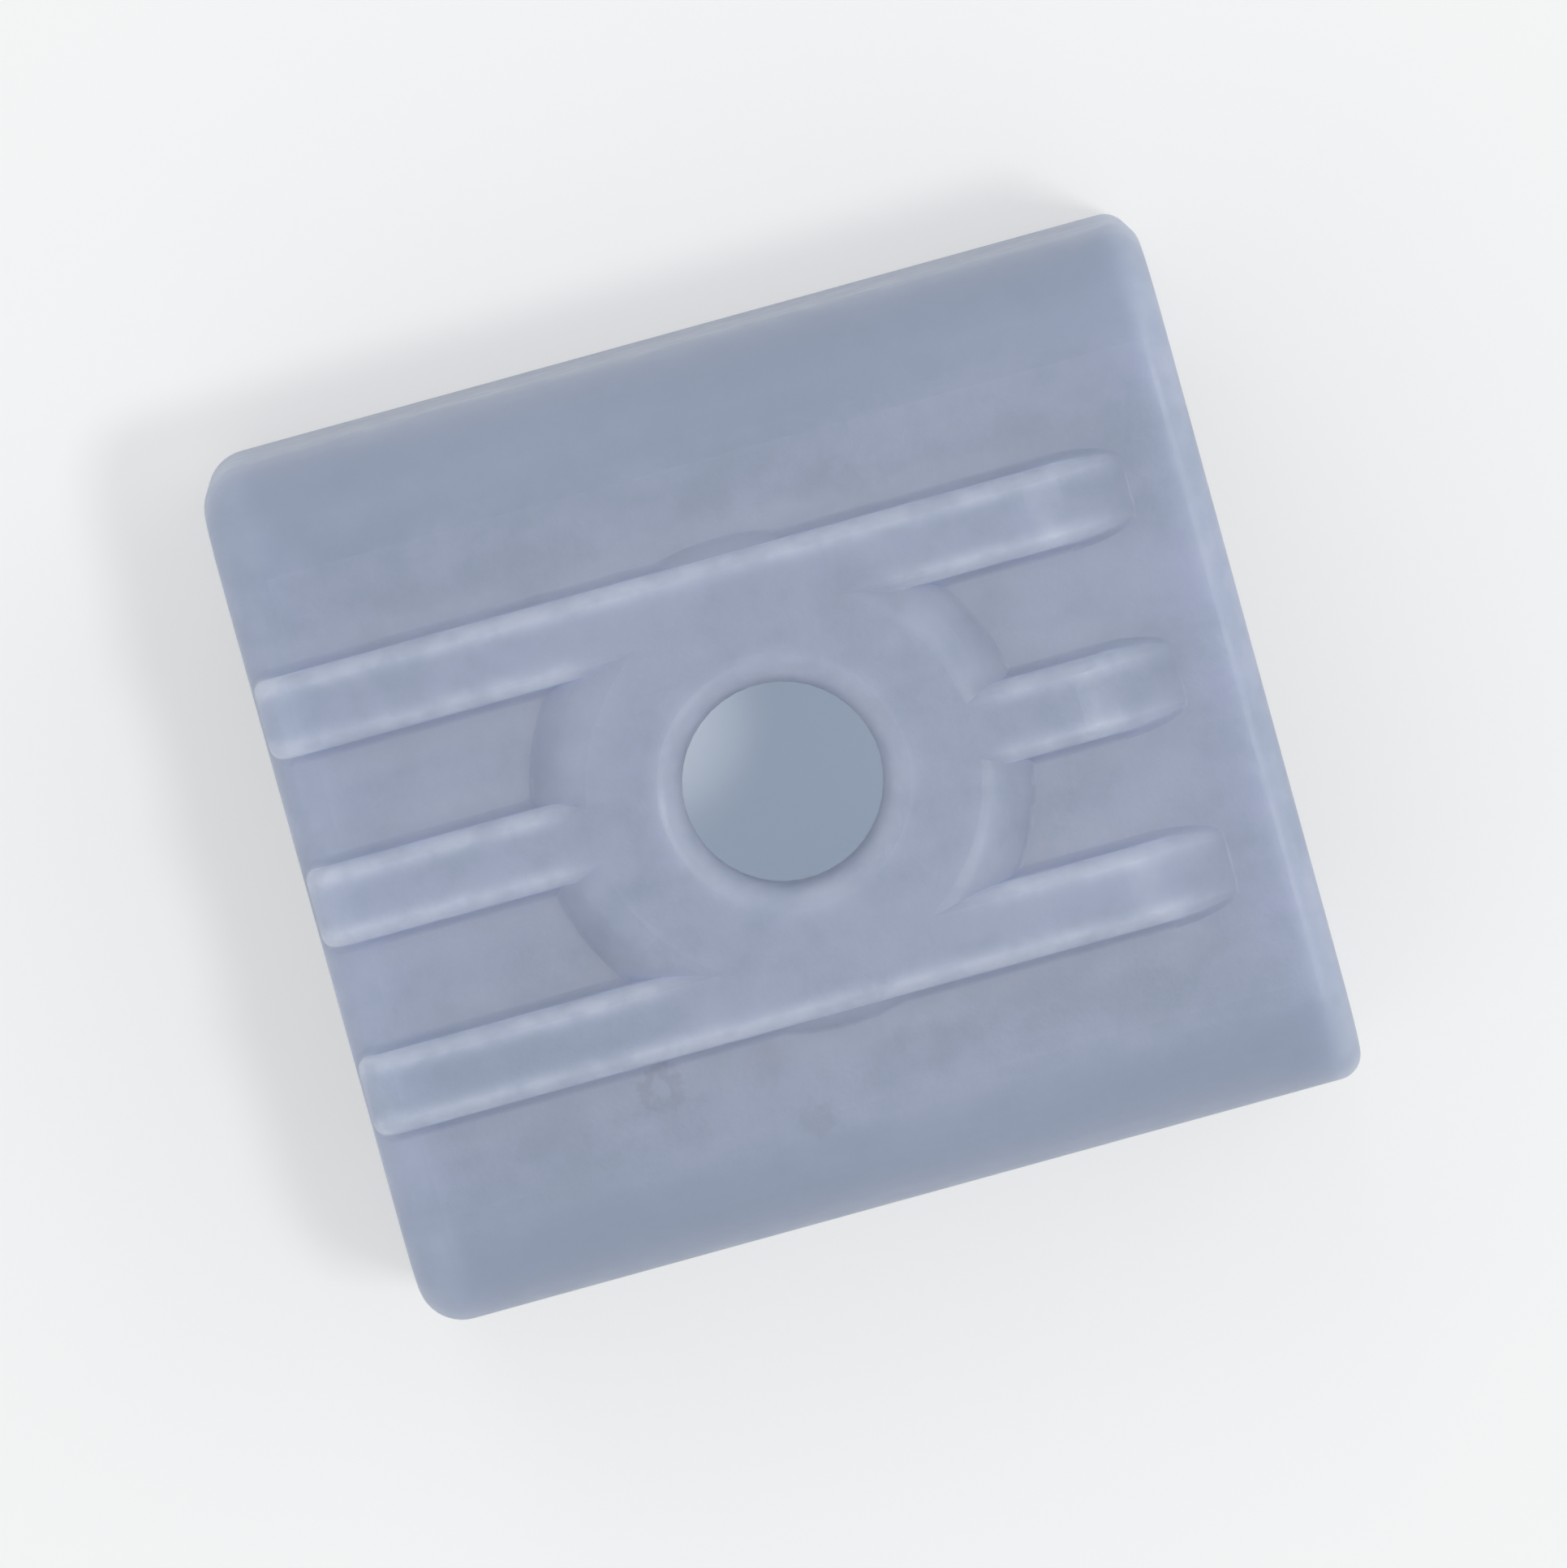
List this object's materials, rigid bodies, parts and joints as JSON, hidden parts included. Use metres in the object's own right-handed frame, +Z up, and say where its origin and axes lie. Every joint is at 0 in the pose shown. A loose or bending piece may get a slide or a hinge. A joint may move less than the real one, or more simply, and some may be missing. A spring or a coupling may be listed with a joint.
{
  "type": "led strip mounting clip",
  "caption": "Snap-in plastic clip that holds a sleeved LED strip in an open channel, with a ribbed mounting face and a central screw hole.",
  "frame": {"origin": "under the middle of the screw hole, level with the arm tips that the clip rests on", "axes": "+Z up through the ribbed mounting face, X along the strip with the plain end at +X, Y across the channel"},
  "size_m": [0.015, 0.0138, 0.0072],
  "materials": {
    "milky_plastic": "milky translucent moulded plastic with a soft satin sheen"
  },
  "bodies": {
    "root": {"clip_body": "milky_plastic"}
  },
  "joints": []
}
